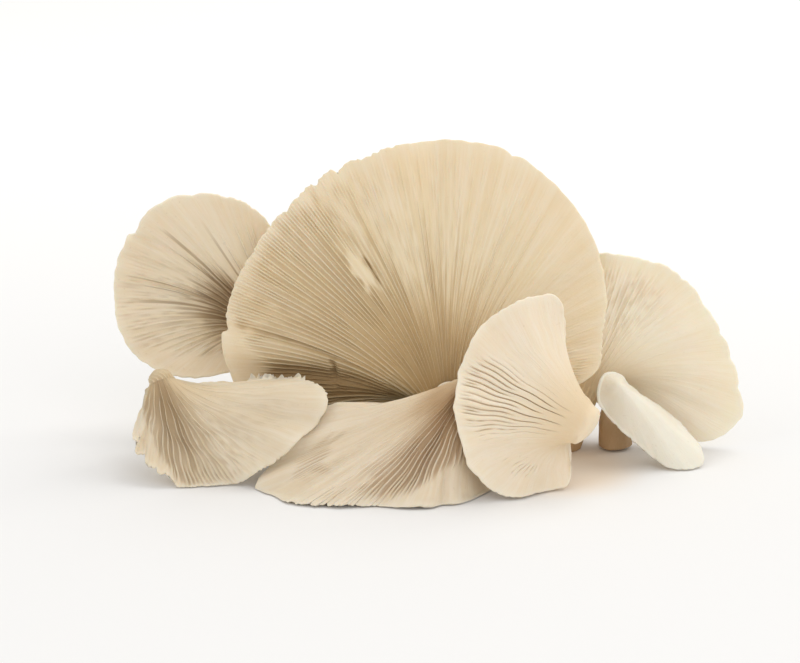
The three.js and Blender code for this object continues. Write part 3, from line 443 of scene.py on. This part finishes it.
class Mushroom:
    def __init__(self, spec, seed):
        spec = {**PLAIN, **spec}
        self.spec = spec
        self.random = np.random.default_rng(seed)
        self.pose = rotation("z", spec["turn"]) @ rotation("x", spec["tilt"]) @ rotation("z", spec["spin"])
        self.hub = np.array(spec["hub"], float)
        self.foot = (np.array(spec["foot"]) - self.hub) @ self.pose
        self.bend = (np.array(spec["bend"]) - self.hub) @ self.pose
        self.crown = np.array(spec["crown"], float)
        self.stem_length = np.linalg.norm(self.stem_point(spec["neck_at"], np.zeros(1), [0]) - self.foot)
        self.angles = np.linspace(-math.pi, math.pi, MARGIN_SAMPLES)
        points = self.margin(self.angles)[0]
        lengths = np.concatenate([[0], np.cumsum(np.linalg.norm(np.diff(points, axis=0), axis=1))])
        self.girth = lengths[-1]
        self.shares = lengths / self.girth
        self.draw_chances()

    def draw_chances(self):
        """Everything random about the mushroom, drawn in one order."""
        draw, count = self.random.uniform, self.spec["gills"]
        self.gill_tall = draw(*GILL_SIZES, count)
        self.gill_late = draw(-GILL_LATE, GILL_LATE, count)
        self.gill_far = draw(-GILL_FAR, GILL_FAR, count) + FEW_FAR * (draw(0, 1, count) > FEW)
        self.gill_phase = draw(0, 1, count)
        self.tooth = draw(*TOOTH_SIZES, (2, TEETH))
        self.sway = [(waves, draw(-1, 1), draw(0, 1)) for waves in SWAYS]
        self.fray = self.ragged(FRAY_SAMPLES, FRAY_WAVES)
        self.swell = [(waves, draw(0, 1), draw(0.5, 1)) for waves in SWELL_WAVES]

    def ragged(self, count, waves):
        """A closed random line of values near -1 to 1 with features as fine as count / waves."""
        slowest = 4
        line = np.fft.rfft(self.random.normal(0, 1, count))
        line *= np.exp(-((np.arange(line.size) / waves) ** 2)) * (np.arange(line.size) > slowest)
        line = np.fft.irfft(line, count)
        return line / np.abs(line).max()

    def angle_at(self, share):
        return np.interp(share, self.shares, self.angles)

    def share_at(self, angle):
        return np.interp(angle, self.angles, self.shares)

    # -- the margin and the skin's curves --

    def margin(self, angle):
        """The margin's point, the way out through it, the way up from it and the way out from the hub."""
        rows = read_round(self.spec["margin"], angle)
        slope = np.radians(rows[..., 2])
        out = outward(angle)
        point = out * rows[..., :1]
        point[..., 2] = rows[..., 1]
        run = out * np.cos(slope)[..., None]
        run[..., 2] = np.sin(slope)
        rise = -out * np.sin(slope)[..., None]
        rise[..., 2] = np.cos(slope)
        return point, run, rise, out

    def tears(self, angle):
        """How far notches, teeth and fray draw the margin in, and how far other teeth stand out from it."""
        point, run, rise, _ = self.margin(angle)
        across = unit(np.cross(self.margin(angle + TEAR_STEP)[0] - point, rise))
        size = np.minimum(np.linalg.norm(point[..., :2], axis=-1) / FULL_TEAR_REACH, 1)
        notch, tear, proud = 0 * angle, 0 * angle, 0 * angle
        for degrees, before, after, depth in self.spec["lobes"]:
            off = off_by(angle, degrees)
            off = off / np.where(off < 0, before, after)
            notch = notch + depth * np.exp(-np.abs(off) ** NOTCH_POINTED)
        share = self.share_at(angle)
        for number, (start, stop, teeth, depth) in enumerate(self.spec["torn"]):
            first, last = self.share_at(math.radians(start)), self.share_at(math.radians(stop))
            place = (share - first) / (last - first)
            inside = (place > 0) & (place < 1)
            place = np.clip(place, 0, LAST_PLACE) * teeth
            part = place - np.floor(place)
            tooth = inside * self.tooth[number % 2][place.astype(int) % TEETH] * size
            tooth = depth * tooth * np.minimum(part / TOOTH_RISE, (1 - part) / TOOTH_FALL)
            tear = tear + np.maximum(tooth, 0)
            proud = proud + np.maximum(-tooth, 0)
        around = np.linspace(0, 1, self.fray.size + 1)
        fray = np.interp(share, around, np.append(self.fray, self.fray[0])) + FRAY_MIDDLE
        tear = tear + FRAY * size * fray
        return run * notch[..., None] + across * tear[..., None], across * proud[..., None]

    def stem_direction(self, t):
        return unit((1 - t) * (self.bend - self.foot) - t * self.bend)

    def stem_outward(self, t, angle):
        return outward(angle) @ from_up(self.stem_direction(t)).T

    def stem_point(self, t, angle, radius):
        centre = (1 - t) ** 2 * self.foot + 2 * t * (1 - t) * self.bend
        return centre + self.stem_outward(t, angle) * np.asarray(radius)[..., None]

    def flare(self, angle):
        """How much the skin spreads out above the neck."""
        behind = (1 - np.cos(angle)) / 2
        return self.spec["flare"] + (self.spec["back_flare"] - self.spec["flare"]) * behind

    def underside_curve(self, angle):
        """The four points of the curve from neck to margin, and the ways up and out at the margin."""
        spec = self.spec
        point, run, rise, out = self.margin(angle)
        neck = self.stem_point(spec["neck_at"], angle, spec["neck_radius"])
        span = np.linalg.norm(point - neck, axis=-1)[..., None]
        around = self.flare(angle)[..., None] * self.stem_outward(spec["neck_at"], angle)
        leave = unit(self.stem_direction(spec["neck_at"]) + around)
        room = np.maximum(self.crown[2] - spec["hollow"] - neck[..., 2:3], 0)
        limit = np.where(leave[..., 2:3] > LEVEL, room / np.maximum(leave[..., 2:3], LEVEL), np.inf)
        first = neck + leave * np.minimum(spec["neck_pull"] * span, limit)
        return neck, first, point - MARGIN_PULL * span * run, point, rise, out

    def underside(self, angle, q):
        return bezier(self.underside_curve(angle)[:4], q)

    def underside_normal(self, angle, q):
        here = self.underside(angle, q)
        inwards = self.underside(angle, q - TINY) - here
        return unit(np.cross(inwards, self.underside(angle + TINY, q) - here))

    def top(self, angle, w):
        """The smooth top: near the margin it follows the underside, further in it sweeps to the crown."""
        spec = self.spec
        _, _, inner, margin, rise, out = self.underside_curve(angle)
        rim = margin + rise * spec["rim"]
        span = np.linalg.norm((rim - self.crown)[..., :2], axis=-1)[..., None]
        near_crown = self.crown + CROWN_PULL * span * out
        sweep = bezier((rim, inner + rise * spec["body"], near_crown, self.crown), w)
        thick = spec["rim"] + (spec["body"] - spec["rim"]) * smooth(w, 0, THICKENING)
        skin = self.underside(angle, 1 - w) - self.underside_normal(angle, 1 - w) * thick[..., None]
        k = smooth(w, *spec["sweep"])[..., None]
        return skin * (1 - k) + sweep * k

    # -- waves, folds and gills --

    def ruffle(self, share, q):
        return sum(height * np.sin(FULL_TURN * (waves * share + phase)) * q**rise
                   for waves, height, phase, rise in self.spec["ruffles"])

    def swelling(self, share, q):
        """Soft folds that run out along the cap."""
        waves = sum(a * np.sin(FULL_TURN * (k * share + p + SWELL_TURN * q)) / k for k, p, a in self.swell)
        return self.spec["swell"] * waves * smooth(q, *SWELLS)

    def fold(self, angle, q):
        """How far the whole skin, both its sides, is pressed in towards the top."""
        pressed = 0 * angle
        for outer_deg, inner_deg, half, depth, begin, end in self.spec["folds"]:
            bend = off_by(angle, inner_deg + (outer_deg - inner_deg) * q) / half
            run = smooth(q, begin - FOLD_BEFORE, begin + FOLD_AFTER) * (1 - smooth(q, end - FOLD_END, end))
            pressed = pressed + depth * np.exp(-bend * bend) * run
        return pressed

    def gill(self, share, q, spacing):
        """Height of the gills over the skin and how deep each point lies between them, which sets the
        painted shade between the gills.
        """
        spec = self.spec
        place = share * spec["gills"]
        near = np.floor(place + 0.5).astype(int)
        off = np.abs(place - near)
        near = near % spec["gills"]
        start = np.array(STARTS)[near % len(STARTS)] + self.gill_late[near] + spec["late"]
        grown = smooth(q, start, start + GILL_RISE)
        if not spec["late"]:
            longest = NECK_HEIGHT + (1 - NECK_HEIGHT) * smooth(q, 0, NECK_RISE)
            grown = np.where(near % len(STARTS) == 0, longest, grown)
        angle = self.angle_at(share)
        inner, outer, change, end = np.moveaxis(read_round(spec["strength"], angle), -1, 0)
        change = change + self.gill_far[near]
        sway = BREAK_SWAY * np.sin(BREAK_RATE * q + near)
        broken = np.sin(FULL_TURN * (BREAKS * q + self.gill_phase[near] + sway))
        outer = outer * (1 + BREAK_DEPTH * broken * np.clip(1 - outer, 0, 1))
        deep = inner + (outer - inner) * smooth(q, change - CHANGE_SPREAD, change + CHANGE_SPREAD)
        end = end + END_SPREAD * self.gill_late[near]
        left = 1 - smooth(q, end - FADE_BEFORE, end + FADE_AFTER)
        active = np.select([q < upto for upto, _ in CROWDS], [one_in for _, one_in in CROWDS], 1)
        reach = read_round(spec["margin"], angle)[..., 0]
        room = np.minimum(STEEPEST * spacing * active * COLUMNS_PER_GILL, TALLEST * reach)
        blade = np.interp(off, GILL_ACROSS, [1, spec["flank"], 0]) * grown
        tall = np.minimum(spec["depth"] * deep, room) * self.gill_tall[near] * blade * left
        groove_shade = (1 - blade) * np.clip(deep, 0, 1) * left
        if spec["cut"]:
            tall, groove_shade = -spec["cut"] * tall, blade * np.clip(deep, 0, 1) * left
        return self.marked(angle, q, off, tall, groove_shade)

    def marked(self, angle, q, off, tall, groove_shade):
        """The gills' height and the painted shade between them, with the mushroom's marks: patches, cracks,
        painted shade over shaded places and a warmer colour in a few.
        """
        for degrees, half, centre, spread, lift, hidden, darker in self.spec["marks"]:
            across = off_by(angle, degrees) / half
            along = (q - centre) / spread
            if lift or hidden:
                across = across + MARK_RAGGED * np.sin(MARK_RATE_OUT * q + degrees)
                along = along + MARK_RAGGED * np.sin(MARK_RATE_ROUND * angle)
                inside = np.exp(-across**6 - along**6)
            else:
                inside = np.exp(-across**2 - along**2)
            tall = tall * (1 - np.clip(hidden, 0, 1) * inside) + lift * inside
            # The darkening paints shade into creases, cracks and shaded places, and in a few broad marks a
            # warmer colour.
            groove_shade = groove_shade * (1 - np.clip(hidden, 0, 1) * inside) + darker * inside
            if hidden < 0:
                ripple = np.interp(off, GILL_ACROSS, [1, FLANK, 0])
                tall = tall - FINE_HEIGHT * hidden * ripple * inside
                groove_shade = groove_shade + FINE_GROOVE * (1 - ripple) * inside
        return tall, np.clip(groove_shade, 0, DEEPEST_GROOVE)

    # -- rows of the skin: each gives its points, the painted shade in their grooves and how far along the skin they are --

    def stem_row(self, share, part, inset=0.0):
        spec, length = self.spec, self.stem_length
        even = FULL_TURN * (share - 0.5)
        angle = even + (self.angle_at(share) - even) * smooth(part, *TWIST)
        fillet = max(length / FILLET, LEAST_FILLET)
        waist = WAIST * np.minimum(self.flare(angle), WAIST_FLARE) * length * (1 - part) * part**fillet
        radius = spec["foot_radius"] + (spec["neck_radius"] - spec["foot_radius"]) * part * part
        off = np.abs(np.mod(share * (spec["gills"] // len(STARTS)) + 0.5, 1) - 0.5)
        ridge = np.interp(off, RIDGE_ACROSS, RIDGE_HEIGHT)
        ridged = 0 if spec["cut"] else smooth(part, *RIDGES)
        lift = RIDGE_LIFT * spec["depth"] * ridged * ridge
        lumps = sum(height * np.sin(a * angle + b * part) for height, a, b in LUMPS)
        radius = (radius + lift + lumps * (1 - part) - waist) * (1 - inset)
        point = self.stem_point(part * spec["neck_at"], angle, np.maximum(radius, THINNEST))
        # The stem's ridges carry painted shade between them.
        return point, STEM_GROOVE * ridged * (1 - ridge), -1 + part + 0 * share

    def dressed(self, point, share, angle, q, lift):
        """A row with the tears of its margin, its lift off the plain skin, its waves and its soft folds."""
        drawn, proud = self.tears(angle)
        drawn, proud = drawn * smooth(q, TEAR_FROM, 1)[:, None], proud * smooth(q, TOOTH_FROM, 1)[:, None]
        point = point - drawn + proud + self.underside_normal(angle, q) * lift[:, None]
        point[:, 2] += self.ruffle(share, q) + self.swelling(share, q)
        return point

    def under_row(self, share, q):
        spec = self.spec
        sway = sum(a * np.sin(FULL_TURN * (k * share + p + SWAY_SHIFT * q)) / k for k, a, p in self.sway)
        wave = spec["wavy"] * np.sin(FULL_TURN * (WAVES_OUT * q + WAVES_ROUND * share))
        moved = share + SWAY * (spec["wander"] * sway + wave) * q * (1 - q)
        angle = self.angle_at(np.mod(moved, 1))
        flat = np.full(share.shape, q)
        point = self.underside(angle, flat)
        full = spec["gills"] * COLUMNS_PER_GILL
        gap = np.linalg.norm(np.roll(point, -1, axis=0) - point, axis=-1) * share.size / full
        side = SMOOTHED // 2
        around = np.concatenate([gap[-side:], gap, gap[:side]])
        spacing = np.convolve(around, np.ones(SMOOTHED) / SMOOTHED, mode="valid")
        lift, groove_shade = self.gill(share, flat, spacing)
        return self.dressed(point, share, angle, flat, lift - self.fold(angle, flat)), groove_shade, flat

    def rim_row(self, share, turn):
        angle, edge = self.angle_at(share), np.ones(share.shape)
        point, run, rise, _ = self.margin(angle)
        half = self.spec["rim"] / 2
        point = point + rise * half * (1 - math.cos(turn)) + run * half * math.sin(turn)
        # The edging paints shade on the margin's edge where the gill side shows edge-on.
        degrees, half, dark = self.spec["edging"]
        groove_shade = dark * np.exp(-((off_by(angle, degrees) / half) ** 4))
        return self.dressed(point, share, angle, edge, -self.fold(angle, edge)), groove_shade, edge

    def top_row(self, share, w):
        angle, q = self.angle_at(share), np.full(share.shape, 1 - w)
        pressed = self.fold(angle, q) * (1 - smooth(w, *TOP_FLAT))
        return self.dressed(self.top(angle, 1 - q), share, angle, q, -pressed), 0 * share, 2 - q

    def rings(self):
        """All rows of the skin from foot to crown, with the place of each point in the flesh's grain."""
        full = self.spec["gills"] * COLUMNS_PER_GILL
        rings = []

        def add(count, row, *place):
            share = np.arange(count) / count
            points, groove_shade, reach = row(share, *place)
            lay = np.stack([share * self.girth, reach * GRAIN_LENGTH, 0 * share], -1)
            rings.append((points, groove_shade, reach, lay))

        round_end = self.spec["round_end"]
        for turn in map(math.radians, END_TURNS):
            add(full // 4, self.stem_row, round_end * (1 - math.cos(turn)), 1 - math.sin(turn))
        for part in np.linspace(round_end, 1, STEM_ROWS)[:-1]:
            add(full // 4, self.stem_row, part)
        for q in np.linspace(0, 1, self.spec["rows"]) ** UNDER_CROWDING:
            add(full // 2 if q < HALF_COLUMNS_TO else full, self.under_row, q)
        for turn in RIM_TURNS:
            add(full // 2, self.rim_row, turn * math.pi)
        for w in np.linspace(0, 1, TOP_ROWS)[:-1] ** TOP_CROWDING:
            add(full // 4, self.top_row, w)
        return rings

    def settle(self, points, reach):
        """Keeps the skin on the table: softly out on the cap, flat at the foot."""
        free = smooth(reach, *OFF_FOOT)
        lowest = free * (TOP_CLEAR + UNDER_CLEAR * (1 - smooth(reach, *ROUND_RIM)))
        above = points[:, 2] - lowest
        settled = lowest + np.logaddexp(0, above / SOFT_TABLE) * SOFT_TABLE
        points[:, 2] = free * settled + (1 - free) * np.maximum(points[:, 2], 0)

    def build(self):
        """The closed skin: points in metres, faces, and for each point its painted shade in the grooves,
        reach and lay.
        """
        rings = self.rings()
        points = [self.foot[None]] + [r[0] for r in rings] + [self.crown[None]]
        groove_shade = np.concatenate([[0.0], *[r[1] for r in rings], [0.0]])
        reach = np.concatenate([[-1.0], *[r[2] for r in rings], [2.0]])
        lay = np.concatenate([np.zeros((1, 3)), *[r[3] for r in rings], np.zeros((1, 3))])
        points = np.concatenate(points) @ self.pose.T + self.hub - HEAP_MIDDLE
        self.settle(points, reach)
        sizes = [len(r[0]) for r in rings]
        starts = 1 + np.concatenate([[0], np.cumsum(sizes)])
        faces = [cap(0, starts[0], sizes[0], True)]
        for i in range(len(sizes) - 1):
            faces += band(starts[i], sizes[i], starts[i + 1], sizes[i + 1])
        faces.append(cap(starts[-1], starts[-2], sizes[-1], False))
        return points * MM, faces, groove_shade, reach, lay


def cap(centre, start, count, down):
    """Triangles between a ring and one point."""
    i = np.arange(count)
    a, b = start + i, start + (i + 1) % count
    c = np.full(count, centre)
    return np.stack([c, b, a] if down else [c, a, b], -1)


def band(low, low_count, high, high_count):
    """Faces between two rings whose counts are equal or whole multiples of each other."""
    if low_count == high_count:
        i = np.arange(low_count)
        j = (i + 1) % low_count
        return [np.stack([low + i, low + j, high + j, high + i], -1)]
    if low_count < high_count:
        few, many, start_few, start_many, flip = low_count, high_count, low, high, False
    else:
        few, many, start_few, start_many, flip = high_count, low_count, high, low, True
    ratio = many // few
    i = np.arange(few)
    here, there = start_few + i, start_few + (i + 1) % few
    faces = [np.stack([here, there, start_many + i * ratio + ratio // 2], -1)]
    for k in range(ratio):
        a = start_many + (i * ratio + k) % many
        b = start_many + (i * ratio + k + 1) % many
        faces.append(np.stack([here if k < ratio // 2 else there, b, a], -1))
    return [f[:, ::-1] for f in faces] if flip else faces


def make_mesh(name, points, faces):
    mesh = bpy.data.meshes.new(name)
    loops = np.concatenate([f.reshape(-1) for f in faces])
    totals = np.concatenate([np.full(len(f), f.shape[1]) for f in faces])
    mesh.vertices.add(len(points))
    mesh.vertices.foreach_set("co", points.astype(np.float32).reshape(-1))
    mesh.loops.add(len(loops))
    mesh.loops.foreach_set("vertex_index", loops.astype(np.int32))
    mesh.polygons.add(len(totals))
    mesh.polygons.foreach_set("loop_start", np.concatenate([[0], np.cumsum(totals)[:-1]]).astype(np.int32))
    mesh.update(calc_edges=True)
    mesh.validate()
    mesh.shade_smooth()
    return mesh


# ---- flesh ----

class Nodes:
    """Writes a node material in a few lines."""

    def __init__(self, name):
        self.material = bpy.data.materials.new(name)
        self.material.use_nodes = True
        self.tree = self.material.node_tree
        self.shader = self.tree.nodes["Principled BSDF"]

    def fill(self, node, inputs):
        """Links a node's inputs to outputs, or sets them to colours, vectors or numbers."""
        for key, value in inputs.items():
            socket = node.inputs[key]
            if hasattr(value, "links"):
                self.tree.links.new(value, socket)
            elif isinstance(value, tuple):
                socket.default_value = (*value, 1)[:len(socket.default_value)]
            else:
                socket.default_value = value
        return node

    def add(self, kind, inputs=None, **settings):
        node = self.tree.nodes.new(kind)
        for key, value in settings.items():
            setattr(node, key, value)
        return self.fill(node, inputs or {})

    def attribute(self, name, output):
        return self.add("ShaderNodeAttribute", attribute_name=name).outputs[output]

    def object_place(self):
        return self.add("ShaderNodeTexCoord").outputs["Object"]

    def noise(self, vector, scale, detail, roughness):
        inputs = {"Scale": scale, "Detail": detail, "Roughness": roughness, "Vector": vector}
        return self.add("ShaderNodeTexNoise", inputs).outputs["Fac"]

    def stretch(self, vector, scale):
        return self.add("ShaderNodeMapping", {"Scale": scale, "Vector": vector}).outputs["Vector"]

    def spread(self, value, between, to=(0.0, 1.0)):
        """A value's run between two levels, spread smoothly from one number to another."""
        keys = ("Value", "From Min", "From Max", "To Min", "To Max")
        inputs = dict(zip(keys, (value, *between, *to)))
        return self.add("ShaderNodeMapRange", inputs, interpolation_type="SMOOTHSTEP").outputs["Result"]

    def mix(self, factor, a, b):
        node = self.add("ShaderNodeMix", {"Factor": factor}, data_type="RGBA")
        colours = [number for number, socket in enumerate(node.inputs) if socket.type == "RGBA"]
        self.fill(node, dict(zip(colours, (a, b))))
        return next(socket for socket in node.outputs if socket.type == "RGBA")

    def math(self, operation, a, b):
        return self.add("ShaderNodeMath", {0: a, 1: b}, operation=operation).outputs[0]


def flesh(name, tint, shade, stem_colour_and_shade):
    """Gilled and open flesh on the underside with painted shade between the gills, fibrous skin on top, and
    darker flesh on the stem, painted shade on stems that stand in shadow.
    """
    nodes = Nodes(name)
    groove_shade, reach = nodes.attribute("groove_shade", "Fac"), nodes.attribute("reach", "Fac")
    lay = nodes.attribute("lay", "Vector")
    place = nodes.object_place()

    tint = np.array(tint)
    pale = tuple(1 - (1 - tint) * 0.7)
    golden = tuple(tint * np.array([0.9, 0.8, 0.64]))
    top = tuple(1 - (1 - tint) * np.array([0.80, 0.82, 0.86]))
    # Colour of the most shaded places that the marks paint.
    deepest_shade = tuple(np.array(shade) * np.array([0.5, 0.42, 0.32]))
    tint = tuple(tint)

    streaks = nodes.noise(nodes.stretch(lay, (0.45, 0.03, 1)), scale=1.0, detail=4, roughness=0.6)
    open_skin = nodes.mix(nodes.spread(streaks, between=(0.35, 0.7), to=(0.0, 0.5)), tint, pale)
    lines = nodes.noise(nodes.stretch(lay, (1.9, 0.05, 1)), scale=1.0, detail=2, roughness=0.5)
    open_skin = nodes.mix(nodes.spread(lines, between=(0.5, 0.75), to=(0.0, 0.22)), open_skin, golden)
    near_hub = nodes.spread(reach, between=(0.0, 0.6), to=(0.75, 0.0))
    open_skin = nodes.mix(near_hub, open_skin, golden)

    # Painted shade in the grooves between the gills, stronger nearer the hub and darkest where marks paint
    # shaded places.
    outer = nodes.spread(reach, between=(0.1, 0.9), to=(1.0, 0.55))
    dark = nodes.math("MULTIPLY", nodes.spread(groove_shade, between=(0.05, 1.0), to=(0.0, 0.9)), outer)
    gilled = nodes.mix(dark, open_skin, shade)
    gilled = nodes.mix(nodes.spread(groove_shade, between=(0.7, 1.9), to=(0.0, 0.85)), gilled, deepest_shade)
    gilled = nodes.mix(nodes.spread(reach, between=(0.93, 1.0), to=(0.0, 0.4)), gilled, pale)
    blotch = nodes.spread(nodes.noise(place, scale=45, detail=4, roughness=0.6), between=(0.4, 0.75))
    gilled = nodes.mix(nodes.math("MULTIPLY", blotch, 0.2), gilled, golden)

    fibre = nodes.noise(nodes.stretch(lay, (1.6, 0.12, 1)), scale=1.0, detail=5, roughness=0.6)
    capped = nodes.mix(nodes.spread(fibre, between=(0.35, 0.75), to=(0.0, 0.5)), top, tint)
    cloud = nodes.noise(place, scale=60, detail=3, roughness=0.55)
    capped = nodes.mix(nodes.spread(cloud, between=(0.4, 0.7), to=(0.0, 0.35)), capped, golden)

    colour = nodes.mix(nodes.spread(reach, between=(1.0, 1.06)), gilled, capped)
    on_stem = nodes.spread(reach, between=(-0.7, 0.1), to=(1.0, 0.0))
    # Stem colour: for stems standing in shadow it is painted shade.
    stem = nodes.mix(nodes.spread(fibre, between=(0.3, 0.7), to=(0.0, 0.1)), stem_colour_and_shade, open_skin)
    colour = nodes.mix(on_stem, colour, stem)
    fleck = nodes.noise(place, scale=900, detail=2, roughness=0.5)
    colour = nodes.mix(nodes.spread(fleck, between=(0.66, 0.78), to=(0.0, 0.14)), colour, shade)
    nodes.fill(nodes.shader, {"Base Color": colour})

    rough = nodes.noise(place, scale=300, detail=3, roughness=0.5)
    nodes.fill(nodes.shader, {
        "Roughness": nodes.spread(rough, between=(0.3, 0.7), to=(0.42, 0.62)), "IOR": 1.4,
        "Specular IOR Level": 0.35, "Subsurface Weight": 0.3, "Subsurface Radius": (1.0, 0.7, 0.45),
        "Subsurface Scale": 0.0018,
    })
    grain = nodes.noise(place, scale=1400, detail=3, roughness=0.6)
    height = nodes.math("ADD", nodes.math("MULTIPLY", fibre, 0.7), nodes.math("MULTIPLY", grain, 0.3))
    bump = nodes.add("ShaderNodeBump", {"Strength": 0.35, "Distance": 0.0005, "Height": height})
    nodes.fill(nodes.shader, {"Normal": bump.outputs["Normal"]})
    return nodes.material


# ---- the heap in place ----

def place_mushroom(spec, seed):
    points, faces, groove_shade, reach, lay = Mushroom(spec, seed).build()
    mesh = make_mesh(spec["name"] + "_skin", points, faces)
    for key, kind, field, values in (
            ("groove_shade", "FLOAT", "value", groove_shade),
            ("reach", "FLOAT", "value", reach),
            ("lay", "FLOAT_VECTOR", "vector", lay.reshape(-1))):
        mesh.attributes.new(key, kind, "POINT").data.foreach_set(field, values.astype(np.float32))
    mesh.materials.append(flesh(spec["name"] + "_flesh", spec["tint"], spec["shade"], spec["stem"]))
    piece = bpy.data.objects.new(spec["name"] + "_skin", mesh)
    bpy.context.scene.collection.objects.link(piece)
    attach(piece, "root")
    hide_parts(spec["name"] + "_mushroom")


for number, spec in enumerate(MUSHROOMS):
    place_mushroom(spec, FIRST_SEED + number)


# ---- floor, light and camera, in metres ----

FLOOR_CORNERS = [(-4, -3, 0), (4, -3, 0), (4, 6, 0), (-4, 6, 0)]
# Painted shade on the floor: greyer near the heap, fading to white towards the back.
FLOOR_NEAR_SHADED, FLOOR_FAR = (0.855, 0.855, 0.86), (0.98, 0.98, 0.98)
FLOOR_SHADE_FADE = (-0.1, 0.6)
GLOW_PLACE, GLOW_RADII, GLOW = (0.042, -0.006, 0), (0.012, 0.03), 0.6  # light off the flesh in the gap
GLOW_COLOUR = (0.84, 0.66, 0.46)
WORLD_COLOUR, WORLD_STRENGTH = (1.0, 0.99, 0.97, 1), 0.72
CAMERA_PLACE = np.array([-14.0, -644.06, 248.02])  # millimetres in the heap
CAMERA_TILT = 73
LENS, SENSOR = 100, 36


def paper():
    """Pale floor with painted shade, darker near the heap and lighter towards the back, warmed where light
    comes off the flesh.
    """
    nodes = Nodes("floor_paper")
    place = nodes.object_place()
    back = nodes.add("ShaderNodeSeparateXYZ", {"Vector": place}).outputs["Y"]
    shaded_floor = nodes.mix(nodes.spread(back, between=FLOOR_SHADE_FADE), FLOOR_NEAR_SHADED, FLOOR_FAR)
    away = nodes.add("ShaderNodeVectorMath", {0: place, 1: GLOW_PLACE}, operation="DISTANCE")
    glow = nodes.spread(away.outputs["Value"], between=GLOW_RADII, to=(GLOW, 0.0))
    floor_colour = nodes.mix(glow, shaded_floor, GLOW_COLOUR)
    nodes.fill(nodes.shader, {"Base Color": floor_colour, "Roughness": 0.9, "Specular IOR Level": 0.1})
    return nodes.material


def lay_floor():
    mesh = bpy.data.meshes.new("floor")
    mesh.from_pydata(FLOOR_CORNERS, [], [(0, 1, 2, 3)])
    floor = bpy.data.objects.new("floor", mesh)
    bpy.context.scene.collection.objects.link(floor)
    mesh.materials.append(paper())


def light_world():
    world = bpy.data.worlds.new("studio")
    bpy.context.scene.world = world
    world.use_nodes = True
    background = world.node_tree.nodes["Background"]
    background.inputs["Color"].default_value = WORLD_COLOUR
    background.inputs["Strength"].default_value = WORLD_STRENGTH


def area_light(name, place, aim, size, power, colour):
    light = bpy.data.lights.new(name, "AREA")
    light.shape = "SQUARE"
    light.size = size
    light.energy = power
    light.color = colour
    lamp = bpy.data.objects.new(name, light)
    lamp.location = place
    direction = np.array(aim, float) - np.array(place, float)
    lamp.rotation_euler = (math.atan2(math.hypot(direction[0], direction[1]), -direction[2]), 0,
                           math.atan2(direction[0], -direction[1]) + math.pi)
    bpy.context.scene.collection.objects.link(lamp)


def set_camera():
    camera = bpy.data.cameras.new("camera")
    camera.lens = LENS
    camera.sensor_width = SENSOR
    eye = bpy.data.objects.new("camera", camera)
    eye.location = (CAMERA_PLACE - HEAP_MIDDLE) * MM
    eye.rotation_euler = (math.radians(CAMERA_TILT), 0, 0)
    bpy.context.scene.collection.objects.link(eye)
    bpy.context.scene.camera = eye


lay_floor()
light_world()
area_light("key", place=(1.05, 0.7, 2.0), aim=(0, 0, 0.03), size=1.8, power=22.5, colour=(1, 0.99, 0.96))
area_light("fill", place=(0.5, -1.4, 1.0), aim=(0, 0, 0.04), size=1.2, power=4.5, colour=(1, 0.99, 0.97))
area_light("left", place=(-1.2, -0.5, 1.2), aim=(0, 0, 0.04), size=1.0, power=2.6, colour=(1, 0.98, 0.95))
set_camera()
bpy.context.scene.view_settings.view_transform = "Standard"
